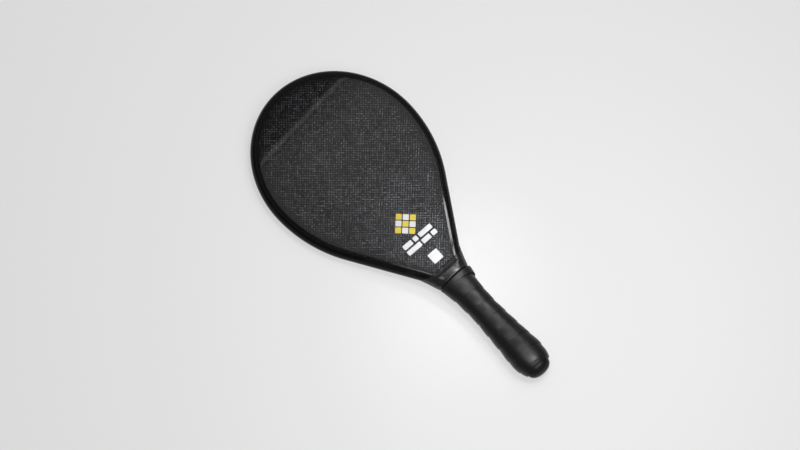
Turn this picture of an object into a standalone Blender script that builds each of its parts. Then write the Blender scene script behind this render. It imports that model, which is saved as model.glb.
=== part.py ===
"""A frescobol paddle: woven carbon faces on a foam core, a tubular frame and a wrapped handle.

Lengths are in metres. The paddle lies face up with its tip towards +Y and its butt towards -Y.
Along it, u is the distance from the tip. Across it, a half width is measured from the centre line.
Every piece is modelled about the paddle's own mid-plane, and one empty lifts them all, so that
the lowest point of the grip stands at z = 0.
"""

import math

import bmesh
import bpy
import numpy as np

MM = 0.001

# Overall size
LENGTH = 460.0 * MM
TOUCH_GAP = 0.3 * MM

# Plan outline of the frame, from the tip to the ends of its legs
TIP_LENGTH = 115.0 * MM
HEAD_HALF_WIDTH = 103.7 * MM
SHOULDER_RADIUS = 170.0 * MM
THROAT_ANGLE = math.radians(31.8)
THROAT_END = 281.0 * MM
NECK_END = 350.0 * MM
LEG_END = 435.0 * MM
TIP_STEPS = 12
SHOULDER_STEPS = 6
THROAT_STEPS = 4
NECK_STEPS = 8
LEG_STEPS = 2
NORMAL_REACH = 0.05 * MM
CUT_DISTANCE = 0.01 * MM

# Frame tube: half its thickness and its width in plan, at distances u from the tip
TUBE_HALF_THICKNESS = [(0, 10.0), (304, 10.0), (338, 6.0), (435, 6.0)]
TUBE_WIDTH = [(0, 17.0), (235, 17.0), (305, 11.6), (338, 7.6), (435, 7.6)]
LIP_ANGLE = math.radians(60)
TUBE_CORNER = 1.2 * MM
TUBE_WALL = 1.4 * MM
EDGE_WALL = 2.8 * MM
BORE_STEPS = 6
FOAM_STEPS = 3

# Face laminates
SKIN = 1.0 * MM
SKIN_END = 303.0 * MM
SKIN_EDGE_RINGS = 4

# Foam core of the head and the wooden spine that carries on from it into the handle
CORE_END = 271.7 * MM
SPINE_START = 272.0 * MM
SPINE_CHAMFER = 0.8 * MM

# Collar on the throat: wall thickness along it, climbing in fine steps at the head end
COLLAR_START = 287.6 * MM
COLLAR_WALL = [
    (287.6, 0.5), (289.9, 0.95), (290.2, 0.55), (291.9, 1.05), (292.2, 0.7), (293.8, 1.25),
    (295.3, 1.85), (298.0, 2.3), (302.0, 2.75), (304.4, 2.8), (305.6, 2.45), (306.6, 1.2),
]
COLLAR_INNER_STEPS = 4

# Handle: half width and half thickness of the moulded shells, at distances u from the tip
HANDLE_HALF_WIDTH = [
    (305, 19.5), (312, 18.2), (320, 16.6), (330, 15.3), (340, 14.7), (358, 14.2), (372, 14.9),
    (390, 16.0), (408, 17.3), (420, 18.4), (429, 18.9), (437, 18.3), (444, 17.1), (450, 14.9),
]
HANDLE_HALF_THICKNESS = [
    (305, 12.4), (320, 11.6), (330, 11.4), (358, 11.5), (380, 12.0), (400, 12.9), (420, 14.2),
    (429, 14.7), (437, 14.3), (444, 13.5), (450, 11.9),
]
OVAL_POWER = 2.2
OVAL_POINTS = 24
SHELL_START = 318.0 * MM
CUSHION = 1.3 * MM
CUSHION_STATIONS = [307.2, 312, 320, 330, 344, 358, 372, 388, 402, 414, 422, 428, 433, 438, 442, 445.7]

# Overgrip: one tape wound from the butt to the throat, each turn lapping over the one below it
TAPE_WIDTH = 25.0 * MM
TAPE_THICKNESS = 0.5 * MM
TAPE_PITCH = 19.0 * MM
TAPE_FIRST_EDGE = 470.0 * MM
TAPE_TRIM_STEP = 0.4 * MM
TAPE_TOP = 307.2 * MM
TAPE_BOTTOM = 449.5 * MM
TAPE_TURNS = 8.5
TAPE_LAP_GAP = 0.48 * MM
TAPE_ACROSS = (0.0, 0.25, 0.5, 0.75, 1.0)
TAPE_CLIMB_START = 0.8

# Butt cap: a plug in the handle's pocket, a flange and a domed end
CAP_FLANGE_START = 446.0 * MM
CAP_FLANGE_END = 449.9 * MM
CAP_PLUG_START = 436.5 * MM
CAP_PLUG_HALF_WIDTH = 10.4 * MM
CAP_PLUG_HALF_THICKNESS = 5.5 * MM
CAP_DOME_INSET = 1.0 * MM
CAP_DOME_STEPS = 6


def smooth(rows, u):
    """The value at u of a monotone cubic through rows of (distance, value), both in millimetres."""
    at = np.array([row[0] for row in rows], float) * MM
    value = np.array([row[1] for row in rows], float) * MM
    step = np.diff(at)
    slope = np.diff(value) / step
    tangent = np.zeros(len(at))
    for i in range(1, len(at) - 1):
        before, after = slope[i - 1], slope[i]
        if before * after > 0:
            heavy = 2 * step[i] + step[i - 1]
            light = step[i] + 2 * step[i - 1]
            tangent[i] = (heavy + light) / (heavy / before + light / after)
    tangent[0], tangent[-1] = slope[0], slope[-1]
    if slope[0] * slope[1] <= 0 or slope[1] == 0:
        tangent[0] = 0.0
    u = min(max(u, at[0]), at[-1])
    k = min(int(np.searchsorted(at, u, side="right")) - 1, len(step) - 1)
    t = (u - at[k]) / step[k]
    return (
        value[k] * (1 + 2 * t) * (1 - t) ** 2
        + tangent[k] * step[k] * t * (1 - t) ** 2
        + value[k + 1] * t * t * (3 - 2 * t)
        - tangent[k + 1] * step[k] * t * t * (1 - t)
    )


def y_of(u):
    """The y coordinate of a distance u from the tip. The origin is halfway along the paddle."""
    return LENGTH / 2 - u


def neck_radius():
    """Radius of the arc that turns the straight throat into the parallel legs."""
    return (NECK_END - THROAT_END) / math.sin(THROAT_ANGLE)


def shoulder_end():
    """(u, half width) where the shoulder's arc meets the straight throat."""
    u = TIP_LENGTH + SHOULDER_RADIUS * math.sin(THROAT_ANGLE)
    return u, HEAD_HALF_WIDTH - SHOULDER_RADIUS * (1 - math.cos(THROAT_ANGLE))


def frame_half_width(u):
    """Half width of the frame's outline: quarter ellipse, arc, straight throat, arc, straight legs."""
    shoulder_u, shoulder_width = shoulder_end()
    if u <= TIP_LENGTH:
        return HEAD_HALF_WIDTH * math.sqrt(max(0.0, 1 - ((TIP_LENGTH - u) / TIP_LENGTH) ** 2))
    if u <= shoulder_u:
        drop = SHOULDER_RADIUS - math.sqrt(SHOULDER_RADIUS**2 - (u - TIP_LENGTH) ** 2)
        return HEAD_HALF_WIDTH - drop
    throat_width = shoulder_width - (min(u, THROAT_END) - shoulder_u) * math.tan(THROAT_ANGLE)
    if u <= THROAT_END:
        return throat_width
    radius = neck_radius()
    leg_width = throat_width - radius * (1 - math.cos(THROAT_ANGLE))
    left = max(0.0, NECK_END - u)
    return leg_width + radius - math.sqrt(radius**2 - left**2)


def outline_distances():
    """Distances u of the outline's stations, from the tip to the ends of the legs."""
    shoulder_u = shoulder_end()[0]
    found = [TIP_LENGTH * (1 - math.cos(math.pi / 2 * i / TIP_STEPS)) for i in range(TIP_STEPS)]
    for start, end, steps in (
        (TIP_LENGTH, shoulder_u, SHOULDER_STEPS),
        (shoulder_u, THROAT_END, THROAT_STEPS),
        (THROAT_END, NECK_END, NECK_STEPS),
        (NECK_END, LEG_END, LEG_STEPS),
    ):
        found += [start + (end - start) * i / steps for i in range(steps)]
    return found + [LEG_END]


def outward(u):
    """The outline's outward unit normal in plan, on the +X side."""
    if u <= 0:
        return np.array([0.0, 1.0])
    nearer = u - min(NORMAL_REACH, u)
    farther = u + NORMAL_REACH
    before = np.array([frame_half_width(nearer), y_of(nearer)])
    after = np.array([frame_half_width(farther), y_of(farther)])
    along = (after - before) / np.linalg.norm(after - before)
    return np.array([-along[1], along[0]])


def outline_stations(last_u):
    """(u, point, outward normal) along the whole outline, from the -X leg round the tip to the +X leg."""
    right = []
    for u in outline_distances():
        if u <= last_u:
            right.append((u, np.array([frame_half_width(u), y_of(u)]), outward(u)))
    mirror = np.array([-1.0, 1.0])
    left = [(u, point * mirror, normal * mirror) for u, point, normal in reversed(right[1:])]
    return left + right


def tube_size(u):
    """(half thickness, width in plan) of the frame tube."""
    return smooth(TUBE_HALF_THICKNESS, u), smooth(TUBE_WIDTH, u)


def tube_section(u):
    """Section of the frame tube as (outward, up) points: a round edge between two lips,
    a rebate above and below it where the face laminates lie, and a chamfered inner wall."""
    half, width = tube_size(u)
    seat = half - SKIN - TOUCH_GAP
    edge = [LIP_ANGLE * i / 3 for i in range(4)]
    upper = [(half * math.cos(a), half * math.sin(a)) for a in edge]
    upper += [(seat * math.cos(LIP_ANGLE), seat * math.sin(LIP_ANGLE)), (0.0, seat)]
    upper += [(half - width + TUBE_CORNER, seat), (half - width, seat - TUBE_CORNER)]
    lower = [(q, -z) for q, z in reversed(upper[1:])]
    return upper + lower


def bore_section(u, steps, gap=0.0):
    """Section of the tube's bore, or with a gap of the foam that fills it, as (outward, up) points.
    Its round side is drawn in twice the given steps."""
    half, width = tube_size(u)
    radius = half - EDGE_WALL - gap
    inner = half - width + TUBE_WALL + gap
    turns = [math.pi / 2 * i / steps for i in range(steps + 1)]
    upper = [(radius * math.cos(a), radius * math.sin(a)) for a in turns]
    upper.append((inner, radius))
    lower = [(q, -z) for q, z in reversed(upper[1:])]
    return upper + lower


def tube_rings(section):
    """Rings of a section carried along the whole outline, square to it."""
    rings = []
    for u, point, normal in outline_stations(LEG_END):
        middle = point - normal * tube_size(u)[0]
        rings.append([(*(middle + normal * q), z) for q, z in section(u)])
    return rings


def oval_ring(u, half_width, half_thickness):
    """Ring across the handle: an oval a little squarer than an ellipse."""
    ring = []
    for i in range(OVAL_POINTS):
        x, z = oval_point(2 * math.pi * i / OVAL_POINTS, half_width, half_thickness)
        ring.append((x, y_of(u), z))
    return ring


def oval_point(angle, half_width, half_thickness):
    """(x, z) on the oval |x / a| ^ p + |z / b| ^ p = 1, at a turn of angle from +X towards +Z."""
    c, s = math.cos(angle), math.sin(angle)
    x = half_width * math.copysign(abs(c) ** (2 / OVAL_POWER), c)
    z = half_thickness * math.copysign(abs(s) ** (2 / OVAL_POWER), s)
    return x, z


def stadium_ring(u, half_width, radius, steps=10):
    """Ring across the neck: two straight sides joined by half circles."""
    middle = half_width - radius
    ring = []
    for side, start in ((1, -math.pi / 2), (-1, math.pi / 2)):
        for i in range(steps + 1):
            a = start + math.pi * i / steps
            ring.append((side * middle + radius * math.cos(a), y_of(u), radius * math.sin(a)))
    return ring


def handle_size(u, offset=0.0):
    """(half width, half thickness) of the handle's shells, grown by an offset."""
    return smooth(HANDLE_HALF_WIDTH, u) + offset, smooth(HANDLE_HALF_THICKNESS, u) + offset


def material(name, colour, roughness, metallic=0.0):
    """A Principled material."""
    made = bpy.data.materials.new(name)
    made.use_nodes = True
    shader = made.node_tree.nodes["Principled BSDF"]
    shader.inputs["Base Color"].default_value = (*colour, 1.0)
    shader.inputs["Roughness"].default_value = roughness
    shader.inputs["Metallic"].default_value = metallic
    made.diffuse_color = (*colour, 1.0)
    return made


def add_object(name, mesh, finish, parent, sharp_angle=35):
    """Links a mesh as a named object under the mid-plane empty."""
    mesh.materials.clear()
    mesh.materials.append(finish)
    mesh.shade_smooth()
    mesh.set_sharp_from_angle(angle=math.radians(sharp_angle))
    placed = bpy.data.objects.new(name, mesh)
    placed.parent = parent
    bpy.context.scene.collection.objects.link(placed)
    return placed


def wrap_rings(bm, rings, closed=False):
    """Side faces between rings of equal counts, and from the last back to the first where closed.
    Returns the rings' vertices."""
    verts = [[bm.verts.new(point) for point in ring] for ring in rings]
    following = verts[1:] + verts[:1] if closed else verts[1:]
    for one, two in zip(verts, following):
        for i in range(len(one)):
            j = (i + 1) % len(one)
            bm.faces.new((one[i], one[j], two[j], two[i]))
    return verts


def finish_mesh(bm, name):
    """Turns the faces outwards and returns the mesh."""
    bmesh.ops.recalc_face_normals(bm, faces=bm.faces)
    mesh = bpy.data.meshes.new(name)
    bm.to_mesh(mesh)
    bm.free()
    return mesh


def loft(name, rings):
    """A solid through closed rings, capped at both ends."""
    bm = bmesh.new()
    verts = wrap_rings(bm, rings)
    bm.faces.new(verts[0])
    bm.faces.new(verts[-1])
    return finish_mesh(bm, name)


def sleeve(name, outer, inner):
    """A tube between outer rings and inner rings, open at both ends."""
    bm = bmesh.new()
    wrap_rings(bm, outer + inner[::-1], closed=True)
    return finish_mesh(bm, name)


def frame_tube_mesh():
    """The carbon frame: one tube from the butt up round the head and back, open at both ends."""
    return sleeve("frame_tube", tube_rings(tube_section), tube_rings(lambda u: bore_section(u, BORE_STEPS)))


def frame_foam_mesh():
    """Foam that fills the frame tube."""
    return loft("frame_foam", tube_rings(lambda u: bore_section(u, FOAM_STEPS, TOUCH_GAP)))


def skin_mesh():
    """One face laminate as an open sheet: flat, rolled over the frame's round edge up to its lip,
    and cut square at the neck. A Solidify modifier gives it its thickness."""
    bm = bmesh.new()
    rows = []
    stations = outline_stations(NECK_END)
    for i in range(SKIN_EDGE_RINGS):
        row = []
        for u, point, normal in stations:
            half = tube_size(u)[0]
            first = LIP_ANGLE + TOUCH_GAP / half
            angle = first + (math.pi / 2 - first) * i / (SKIN_EDGE_RINGS - 1)
            place = point - normal * half * (1 - math.cos(angle))
            row.append(bm.verts.new((*place, half * math.sin(angle))))
        rows.append(row)
    for outer, inner in zip(rows, rows[1:]):
        for i in range(len(outer) - 1):
            bm.faces.new((outer[i], inner[i], inner[i + 1], outer[i + 1]))
    bm.faces.new(list(reversed(rows[-1])))
    bmesh.ops.bisect_plane(
        bm,
        geom=bm.verts[:] + bm.edges[:] + bm.faces[:],
        dist=CUT_DISTANCE,
        plane_co=(0, y_of(SKIN_END), 0),
        plane_no=(0, -1, 0),
        clear_outer=True,
    )
    bmesh.ops.recalc_face_normals(bm, faces=bm.faces)
    if sum(face.normal.z * face.calc_area() for face in bm.faces) < 0:
        bmesh.ops.reverse_faces(bm, faces=bm.faces)
    mesh = bpy.data.meshes.new("face_skin")
    bm.to_mesh(mesh)
    bm.free()
    return mesh


def head_core_mesh():
    """Foam core: the outline inset past the frame tube, cut square where the spine begins."""
    bm = bmesh.new()
    half = TUBE_HALF_THICKNESS[0][1] * MM - SKIN - TOUCH_GAP
    edge = []
    for u, point, normal in outline_stations(THROAT_END):
        place = point - normal * (tube_size(u)[1] + TOUCH_GAP)
        edge.append(bm.verts.new((*place, -half)))
    sheet = bm.faces.new(edge)
    raised = bmesh.ops.extrude_face_region(bm, geom=[sheet])["geom"]
    top = [part for part in raised if isinstance(part, bmesh.types.BMVert)]
    bmesh.ops.translate(bm, verts=top, vec=(0, 0, 2 * half))
    cut = bmesh.ops.bisect_plane(
        bm,
        geom=bm.verts[:] + bm.edges[:] + bm.faces[:],
        dist=CUT_DISTANCE,
        plane_co=(0, y_of(CORE_END), 0),
        plane_no=(0, -1, 0),
        clear_outer=True,
    )
    rim = [part for part in cut["geom_cut"] if isinstance(part, bmesh.types.BMEdge)]
    bmesh.ops.contextual_create(bm, geom=rim)
    return finish_mesh(bm, "head_core")


def spine_half_width(u):
    """Half the room between the frame's legs, less the gap. Across the throat the legs lean,
    so their width is measured along the slope."""
    lean = outward(u)[0]
    return frame_half_width(u) - tube_size(u)[1] / lean - TOUCH_GAP / lean


def spine_mesh():
    """Wooden spine: a wedge between the frame's legs in the throat, then a straight bar to the butt."""
    rings = []
    for u in [SPINE_START] + [v for v in outline_distances() if v > SPINE_START]:
        across = spine_half_width(u)
        up = tube_size(u)[0] - SKIN - TOUCH_GAP
        c = SPINE_CHAMFER
        corner = [(across, up - c), (across - c, up)]
        corner += [(-x, z) for x, z in reversed(corner)]
        corner += [(-x, -z) for x, z in corner]
        rings.append([(x, y_of(u), z) for x, z in corner])
    return loft("handle_spine", rings)


def shell_mesh():
    """Front half of the handle's moulded shell, lying over the frame's legs and the spine."""
    rings = []
    stations = [SHELL_START] + [v * MM for v in CUSHION_STATIONS if v * MM > SHELL_START]
    half_points = OVAL_POINTS // 2
    for u in stations:
        outer_width, outer_thickness = handle_size(u)
        ring = []
        for i in range(half_points + 1):
            x, z = oval_point(math.pi * i / half_points, outer_width, outer_thickness)
            ring.append((x, y_of(u), z))
        room = frame_half_width(min(u, LEG_END)) + TOUCH_GAP
        radius = tube_size(u)[0] + TOUCH_GAP
        for side, start in ((-1, math.pi), (1, math.pi / 2)):
            for i in range(4):
                a = start - math.pi / 2 * i / 3
                ring.append((side * (room - radius) + radius * math.cos(a), y_of(u), radius * math.sin(a)))
        rings.append(ring)
    return loft("handle_shell", rings)


def base_grip_mesh():
    """Cushion sleeve round the shells, under the overgrip."""
    stations = [u * MM for u in CUSHION_STATIONS]
    inner = [oval_ring(u, *handle_size(u, TOUCH_GAP)) for u in stations]
    outer = [oval_ring(u, *handle_size(u, TOUCH_GAP + CUSHION)) for u in stations]
    return sleeve("base_grip", outer, inner)


def ease(t):
    """0 up to t = 0, 1 from t = 1, and a smooth rise between them."""
    t = min(max(t, 0.0), 1.0)
    return t * t * (3 - 2 * t)


def tape_stations():
    """For each station of the tape: its angle round the handle and five (u, offset) points across it.
    Its edges move one pitch towards the throat in each turn. Its first turn lies flat on the cushion,
    and each later one rises across its width onto the turn before it. At both ends the tape is
    trimmed square to the handle, so its width runs out to a narrow tail."""
    found = []
    rise_start, rise_end = TAPE_ACROSS[1], TAPE_ACROSS[3]
    for i in range(round(TAPE_TURNS * OVAL_POINTS) + 1):
        turns = i / OVAL_POINTS
        high_edge = TAPE_FIRST_EDGE - TAPE_WIDTH - TAPE_PITCH * turns
        climb = ease((turns - TAPE_CLIMB_START) / (1 - TAPE_CLIMB_START))
        points = []
        for k, share in enumerate(TAPE_ACROSS):
            highest = TAPE_TOP + k * TAPE_TRIM_STEP
            lowest = TAPE_BOTTOM - (len(TAPE_ACROSS) - 1 - k) * TAPE_TRIM_STEP
            u = min(max(high_edge + TAPE_WIDTH * share, highest), lowest)
            rise = ease(((u - high_edge) / TAPE_WIDTH - rise_start) / (rise_end - rise_start))
            lift = climb * rise * (TAPE_THICKNESS + TAPE_LAP_GAP)
            points.append((u, TOUCH_GAP + CUSHION + TOUCH_GAP + lift))
        found.append((2 * math.pi * turns, points))
    return found


def tape_point(angle, u, offset):
    """A point on the wound tape, at an offset from the handle's shells."""
    x, z = oval_point(angle, *handle_size(u, offset))
    return (x, y_of(u), z)


def overgrip_mesh():
    """The wound tape as one unbroken strip."""
    rings = []
    for angle, points in tape_stations():
        under = [tape_point(angle, u, offset) for u, offset in points]
        over = [tape_point(angle, u, offset + TAPE_THICKNESS) for u, offset in points]
        rings.append(under + over[::-1])
    return loft("overgrip", rings)


def print_tape_gap():
    """Measures the least gap between the tape's turns and prints it."""
    stations = tape_stations()
    shares = np.linspace(0, 1, 26)
    least = math.inf
    for lower, upper in zip(stations, stations[OVAL_POINTS:]):
        lines = []
        for (angle, points), thickness in ((lower, TAPE_THICKNESS), (upper, 0.0)):
            corners = np.array([tape_point(angle, u, offset + thickness) for u, offset in points])
            at = np.array(TAPE_ACROSS)
            lines.append(np.stack([np.interp(shares, at, corners[:, k]) for k in range(3)], axis=1))
        apart = np.linalg.norm(lines[0][:, None, :] - lines[1][None, :, :], axis=2)
        least = min(least, apart.min())
    print(f"least gap between the overgrip's turns: {least / MM:.2f} mm")


def collar_mesh():
    """Collar on the throat: it climbs in fine steps from a thin lip, then lies as a round-edged band."""
    radius = tube_size(COLLAR_START)[0]
    outer = []
    for distance, wall in COLLAR_WALL:
        u = distance * MM
        grown = TOUCH_GAP + wall * MM
        outer.append(stadium_ring(u, frame_half_width(u) + grown, radius + grown))
    end = COLLAR_WALL[-1][0] * MM
    inner = []
    for i in range(COLLAR_INNER_STEPS + 1):
        u = COLLAR_START + (end - COLLAR_START) * i / COLLAR_INNER_STEPS
        inner.append(stadium_ring(u, frame_half_width(u) + TOUCH_GAP, radius + TOUCH_GAP))
    return sleeve("throat_collar", outer, inner)


def butt_cap_mesh():
    """Butt cap: a plug between the shells, a flange that closes the handle and a domed end."""
    rings = [
        oval_ring(CAP_PLUG_START, CAP_PLUG_HALF_WIDTH, CAP_PLUG_HALF_THICKNESS),
        oval_ring(CAP_FLANGE_START, CAP_PLUG_HALF_WIDTH, CAP_PLUG_HALF_THICKNESS),
    ]
    grown = TOUCH_GAP + CUSHION
    for u in (CAP_FLANGE_START, CAP_FLANGE_END):
        rings.append(oval_ring(u, *handle_size(u, grown)))
    base_width, base_thickness = handle_size(CAP_FLANGE_END, grown - CAP_DOME_INSET)
    height = LENGTH - CAP_FLANGE_END
    for i in range(1, CAP_DOME_STEPS):
        a = math.pi / 2 * i / CAP_DOME_STEPS
        u = CAP_FLANGE_END + height * math.sin(a)
        rings.append(oval_ring(u, base_width * math.cos(a), base_thickness * math.cos(a)))
    bm = bmesh.new()
    verts = wrap_rings(bm, rings)
    bm.faces.new(verts[0])
    pole = bm.verts.new((0, y_of(LENGTH), 0))
    for i in range(OVAL_POINTS):
        bm.faces.new((verts[-1][i - 1], verts[-1][i], pole))
    return finish_mesh(bm, "butt_cap")


def main():
    """Builds the paddle."""
    for old in list(bpy.data.objects):
        bpy.data.objects.remove(old)

    weave = material("carbon_weave", (0.035, 0.035, 0.038), 0.32)
    lacquer = material("black_lacquer", (0.012, 0.012, 0.013), 0.15)
    foam = material("core_foam", (0.62, 0.62, 0.60), 0.9)
    edge_foam = material("edge_foam", (0.72, 0.66, 0.48), 0.9)
    wood = material("spine_wood", (0.55, 0.38, 0.22), 0.6)
    shell_foam = material("shell_foam", (0.16, 0.16, 0.17), 0.85)
    cushion = material("cushion", (0.03, 0.03, 0.03), 0.9)
    tape = material("grip_tape", (0.022, 0.022, 0.025), 0.5)
    collar_finish = material("collar_rubber", (0.03, 0.03, 0.034), 0.22)
    cap_finish = material("cap_rubber", (0.018, 0.018, 0.02), 0.45)

    midplane = bpy.data.objects.new("midplane", None)
    bpy.context.scene.collection.objects.link(midplane)

    skin = skin_mesh()
    for name, turn in (("front_skin", 0.0), ("rear_skin", math.pi)):
        laminate = add_object(name, skin, weave, midplane)
        laminate.rotation_euler = (0, turn, 0)
        thickness = laminate.modifiers.new("laminate", "SOLIDIFY")
        thickness.thickness = SKIN
        thickness.offset = -1
        thickness.use_even_offset = True

    add_object("head_core", head_core_mesh(), foam, midplane)
    add_object("frame_tube", frame_tube_mesh(), lacquer, midplane)
    add_object("frame_foam", frame_foam_mesh(), edge_foam, midplane)
    add_object("handle_spine", spine_mesh(), wood, midplane)

    shell = shell_mesh()
    for name, turn, side in (("handle_shell_front", 0.0, 1), ("handle_shell_rear", math.pi, -1)):
        half = add_object(name, shell, shell_foam, midplane)
        half.rotation_euler = (0, turn, 0)
        half.location = (0, 0, side * TOUCH_GAP / 2)

    add_object("base_grip", base_grip_mesh(), cushion, midplane)
    overgrip = add_object("overgrip", overgrip_mesh(), tape, midplane, sharp_angle=50)
    add_object("throat_collar", collar_mesh(), collar_finish, midplane)
    add_object("butt_cap", butt_cap_mesh(), cap_finish, midplane)

    lowest = min(vertex.co.z for vertex in overgrip.data.vertices)
    midplane.location = (0, 0, -lowest)
    print(f"height of the mid-plane: {-lowest / MM:.3f} mm")
    print_tape_gap()


main()
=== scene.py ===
"""The looks of a frescobol paddle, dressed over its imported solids.

Lengths are in metres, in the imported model's frame: +Y towards the tip of the head, +Z out of the
front face, and the mid-plane of the paddle at the height of the frame tube's middle. Along the
paddle, u is the distance from the tip. Round the handle, a lift is a distance out from the shells.
"""

import logging
import math
from collections.abc import Sequence
from dataclasses import dataclass, field
from enum import Enum

import bmesh
import bpy
import numpy as np
from mathutils import Matrix, Vector


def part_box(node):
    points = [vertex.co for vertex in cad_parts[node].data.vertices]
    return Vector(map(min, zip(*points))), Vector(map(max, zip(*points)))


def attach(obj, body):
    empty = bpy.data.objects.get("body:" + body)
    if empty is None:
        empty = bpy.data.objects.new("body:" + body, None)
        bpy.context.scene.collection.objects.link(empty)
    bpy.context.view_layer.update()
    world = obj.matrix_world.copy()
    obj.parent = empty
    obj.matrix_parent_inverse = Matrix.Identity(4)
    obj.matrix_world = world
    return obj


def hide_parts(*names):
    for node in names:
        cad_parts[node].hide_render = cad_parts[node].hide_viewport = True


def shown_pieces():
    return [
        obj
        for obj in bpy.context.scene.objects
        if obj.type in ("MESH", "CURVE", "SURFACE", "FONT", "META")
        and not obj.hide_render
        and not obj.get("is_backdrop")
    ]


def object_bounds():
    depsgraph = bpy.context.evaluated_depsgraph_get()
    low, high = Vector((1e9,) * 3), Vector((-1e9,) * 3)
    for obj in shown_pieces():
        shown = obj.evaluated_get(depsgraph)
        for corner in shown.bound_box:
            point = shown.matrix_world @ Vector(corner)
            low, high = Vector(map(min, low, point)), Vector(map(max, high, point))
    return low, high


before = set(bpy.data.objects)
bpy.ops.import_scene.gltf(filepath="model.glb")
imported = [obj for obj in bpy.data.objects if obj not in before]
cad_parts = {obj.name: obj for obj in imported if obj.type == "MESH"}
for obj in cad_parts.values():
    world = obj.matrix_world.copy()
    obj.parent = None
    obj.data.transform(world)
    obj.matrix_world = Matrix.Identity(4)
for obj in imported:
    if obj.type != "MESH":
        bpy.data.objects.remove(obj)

Array = np.ndarray
Socket = bpy.types.NodeSocket
Source = Socket | float | Sequence[float]
Colour = tuple[float, float, float]

MM = 0.001
BODY = "root"
WELD = 1e-6
SHARP_EDGE = math.radians(40)
OVAL_POWER = 2.2

log = logging.getLogger("paddle")


def ease(t: Array) -> Array:
    """0 up to t = 0, 1 from t = 1, and 3 t squared minus 2 t cubed between them."""
    t = np.clip(t, 0.0, 1.0)
    return t * t * (3 - 2 * t)


def ripple(*terms: Array) -> Array:
    """A gentle unevenness between -1 and 1: the mean of the sines of the given phases."""
    return sum(np.sin(term) for term in terms) / len(terms)


@dataclass(frozen=True)
class Profile:
    """A smooth curve through (distance, value) pairs, both in millimetres."""

    rows: tuple[tuple[float, float], ...]

    def at(self, u: Array) -> Array:
        """Values of the curve: a cubic between each two pairs, which never overshoots them.

        The slope at a pair is the weighted harmonic mean of the chords on both sides of it, and 0
        where they lean opposite ways.

        Args:
            u: distances in metres; past the ends the end value holds.

        Returns:
            The values in metres, in the shape of u.
        """
        at, value = np.array(self.rows, float).T * MM
        step = np.diff(at)
        slope = np.diff(value) / step
        before, after = slope[:-1], slope[1:]
        heavy, light = 2 * step[1:] + step[:-1], step[1:] + 2 * step[:-1]
        bends = before * after <= 0
        safe_before, safe_after = np.where(bends, 1.0, before), np.where(bends, 1.0, after)
        middle = np.where(bends, 0.0, (heavy + light) / (heavy / safe_before + light / safe_after))
        first = 0.0 if slope[0] * slope[1] <= 0 else slope[0]
        tangent = np.concatenate([[first], middle, [slope[-1]]])
        u = np.clip(u, at[0], at[-1])
        k = np.clip(np.searchsorted(at, u, side="right") - 1, 0, len(step) - 1)
        t = (u - at[k]) / step[k]
        return (
            value[k] * (1 + 2 * t) * (1 - t) ** 2
            + tangent[k] * step[k] * t * (1 - t) ** 2
            + value[k + 1] * t * t * (3 - 2 * t)
            - tangent[k + 1] * step[k] * t * t * (1 - t)
        )


def oval(angle: Array, half_width: Array, half_thickness: Array) -> tuple[Array, Array]:
    """Points on the oval |x / a| ^ p + |z / b| ^ p = 1.

    Args:
        angle: the turn from +X towards +Z.
        half_width: a.
        half_thickness: b.

    Returns:
        The x and the z of the points.
    """
    c, s = np.cos(angle), np.sin(angle)
    return (
        half_width * np.sign(c) * np.abs(c) ** (2 / OVAL_POWER),
        half_thickness * np.sign(s) * np.abs(s) ** (2 / OVAL_POWER),
    )


def both_halves(upper: Array) -> Array:
    """Sections of (stations, points, 2) from their upper halves, which start on the middle plane."""
    return np.concatenate([upper, upper[:, :0:-1] * np.array([1.0, -1.0])], axis=1)


def body_mesh(
    name: str,
    rings: Array,
    loop: bool = False,
    values: dict[str, Array] | None = None,
) -> bpy.types.Mesh:
    """A closed body through rings of points.

    Args:
        name: the mesh's name, which its piece takes over.
        rings: an array of (rings, points round a ring, 3).
        loop: True where the last ring joins the first; otherwise both are filled.
        values: named numbers at the points, in arrays of (rings, points), for the finish to read.

    Returns:
        The mesh, with meeting points merged, faces turned outwards and smooth shading.
    """
    count, around = rings.shape[:2]
    index = np.arange(count * around).reshape(count, around)
    near = index if loop else index[:-1]
    far = np.roll(index, -1, axis=0) if loop else index[1:]
    quads = np.stack([near, np.roll(near, -1, axis=1), np.roll(far, -1, axis=1), far], axis=-1)
    faces = quads.reshape(-1, 4).tolist()
    if not loop:
        faces += [index[0][::-1].tolist(), index[-1].tolist()]
    mesh = bpy.data.meshes.new(name)
    mesh.from_pydata(rings.reshape(-1, 3).tolist(), [], faces)
    for label, numbers in (values or {}).items():
        layer = mesh.attributes.new(label, "FLOAT", "POINT")
        layer.data.foreach_set("value", np.ascontiguousarray(numbers, np.float32).ravel())
    tidy_mesh(mesh)
    return mesh


def tidy_mesh(mesh: bpy.types.Mesh) -> None:
    """Merges meeting points, turns the faces outwards and shades all but sharp edges smooth.

    Args:
        mesh: the mesh, changed in place.
    """
    bm = bmesh.new()
    bm.from_mesh(mesh)
    bmesh.ops.remove_doubles(bm, verts=bm.verts, dist=WELD)
    bmesh.ops.dissolve_degenerate(bm, edges=bm.edges, dist=WELD)
    bmesh.ops.recalc_face_normals(bm, faces=bm.faces)
    bm.to_mesh(mesh)
    bm.free()
    mesh.shade_smooth()
    mesh.set_sharp_from_angle(angle=SHARP_EDGE)


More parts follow.
